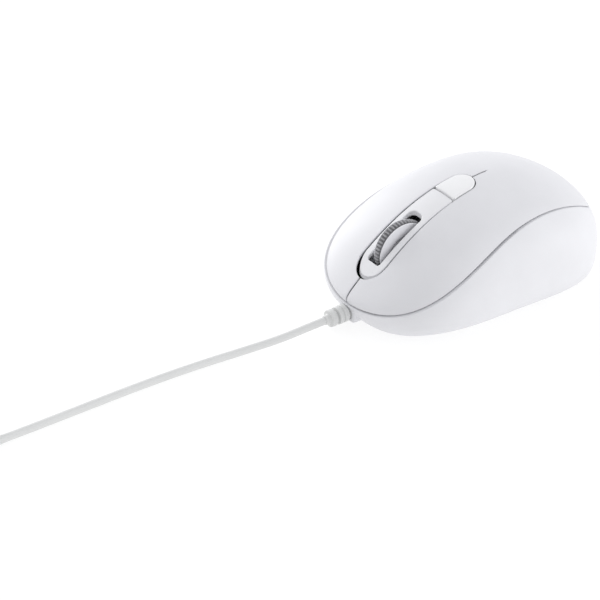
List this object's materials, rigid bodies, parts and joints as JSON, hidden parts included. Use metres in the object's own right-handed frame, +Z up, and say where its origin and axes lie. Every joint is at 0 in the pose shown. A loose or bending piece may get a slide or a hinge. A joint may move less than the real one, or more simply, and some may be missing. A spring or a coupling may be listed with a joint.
{
  "type": "computer mouse",
  "caption": "Small wired computer mouse: domed white shell with flexing keys, a scroll wheel in a central console, a resolution button and a coiled plug-ended cable.",
  "frame": {"origin": "middle of the mouse's footprint, on the desk under its glide feet; the free cord and its plug are not counted", "axes": "+Z up; the nose and its cable point along -Y, the palm end along +Y; +X is the right-hand key's side"},
  "size_m": [0.1098, 0.265, 0.0373],
  "materials": {
    "white_shell": "fine satin texture",
    "white_base": "fine satin texture",
    "white_console": "smooth satin",
    "white_gloss": "polished",
    "white_wheel": "smooth",
    "grey_rubber": "fine cross ribs",
    "grey_inner_plastic": "moulded",
    "steel": "plated",
    "encoder_case": "moulded",
    "encoder_rotor": "moulded",
    "board_green": "solder resist",
    "switch_black": "moulded",
    "tact_steel": "pressed cover",
    "plunger_white": "moulded",
    "plunger_black": "moulded",
    "chip_black": "moulded epoxy",
    "clear_lens": "clear moulding",
    "lamp_red": "tinted resin",
    "capacitor_can": "sleeved",
    "connector_white": "moulded nylon",
    "lead_jacket": "soft jacket",
    "glide_plastic": "slippery, faintly waxy",
    "cable_jacket": "soft satin jacket",
    "plug_grip": "soft moulding",
    "plug_steel": "nickel plated",
    "plug_tongue": "moulded",
    "contact_gold": "gold plated"
  },
  "bodies": {
    "root": {"top_cover": "white_shell", "base_shell": "white_base", "centre_strip": "white_console", "cradle_bracket": "grey_inner_plastic", "cradle_pin": "steel", "encoder_body": "encoder_case", "circuit_board": "board_green", "left_switch": "switch_black", "right_switch": "switch_black", "middle_switch": "tact_steel", "dpi_switch": "tact_steel", "sensor_chip": "chip_black", "sensor_lens": "clear_lens", "led_lamp": "lamp_red", "controller_chip": "chip_black", "capacitor": "capacitor_can", "cable_connector": "connector_white", "inner_lead": "lead_jacket", "board_screws": "steel", "case_screw": "steel", "front_glide_foot": "glide_plastic", "rear_glide_foot": "glide_plastic", "strain_relief": "cable_jacket", "cable": "cable_jacket", "cable_coil": "cable_jacket", "cable_end": "cable_jacket", "usb_grip": "plug_grip", "usb_shell": "plug_steel", "usb_tongue": "plug_tongue", "usb_contacts": "contact_gold"},
    "left_key": {"left_button": "white_shell"},
    "right_key": {"right_button": "white_shell"},
    "dpi_key": {"dpi_button": "white_gloss"},
    "cradle": {"wheel_cradle": "grey_inner_plastic"},
    "wheel": {"wheel_hub": "white_wheel", "wheel_tyre": "grey_rubber"},
    "rotor": {"encoder_rotor": "encoder_rotor"},
    "left_plunger_body": {"left_plunger": "plunger_white"},
    "right_plunger_body": {"right_plunger": "plunger_white"},
    "middle_plunger_body": {"middle_plunger": "plunger_black"},
    "dpi_plunger_body": {"dpi_plunger": "plunger_black"}
  },
  "joints": [
    {"name": "left_click", "type": "hinge", "parent": "root", "child": "left_key", "pos_m": [-0.012, 0.012, 0.034], "axis": [1, 0, 0], "range_deg": [0, 0.45], "stiffness_Nm_per_rad": 1.5},
    {"name": "right_click", "type": "hinge", "parent": "root", "child": "right_key", "pos_m": [0.012, 0.012, 0.034], "axis": [1, 0, 0], "range_deg": [0, 0.45], "stiffness_Nm_per_rad": 1.5},
    {"name": "dpi_press", "type": "slide", "parent": "root", "child": "dpi_key", "axis": [0, 0, -1], "range_m": [0, 0.0004], "stiffness_N_per_m": 600},
    {"name": "wheel_press", "type": "hinge", "parent": "root", "child": "cradle", "pos_m": [0, -0.0145, 0.0115], "axis": [1, 0, 0], "range_deg": [0, 1], "stiffness_Nm_per_rad": 0.8},
    {"name": "wheel_spin", "type": "hinge", "parent": "cradle", "child": "wheel", "pos_m": [0, -0.0265, 0.0201], "axis": [1, 0, 0], "continuous": true},
    {"name": "encoder_turn", "type": "hinge", "parent": "root", "child": "rotor", "pos_m": [-0.0082, -0.0265, 0.0201], "axis": [1, 0, 0], "continuous": true},
    {"name": "left_plunger_slide", "type": "slide", "parent": "root", "child": "left_plunger_body", "axis": [0, 0, -1], "range_m": [0, 0.0004]},
    {"name": "right_plunger_slide", "type": "slide", "parent": "root", "child": "right_plunger_body", "axis": [0, 0, -1], "range_m": [0, 0.0004]},
    {"name": "middle_plunger_slide", "type": "slide", "parent": "root", "child": "middle_plunger_body", "axis": [0, 0, -1], "range_m": [0, 0.0005]},
    {"name": "dpi_plunger_slide", "type": "slide", "parent": "root", "child": "dpi_plunger_body", "axis": [0, 0, -1], "range_m": [0, 0.0004]}
  ],
  "couplings": [
    {"joint": "encoder_turn", "follows": "wheel_spin", "ratio": 1},
    {"joint": "left_plunger_slide", "follows": "left_click", "m_per_rad": 0.039},
    {"joint": "right_plunger_slide", "follows": "right_click", "m_per_rad": 0.039},
    {"joint": "middle_plunger_slide", "follows": "wheel_press", "m_per_rad": 0.0241},
    {"joint": "dpi_plunger_slide", "follows": "dpi_press", "ratio": 1}
  ]
}
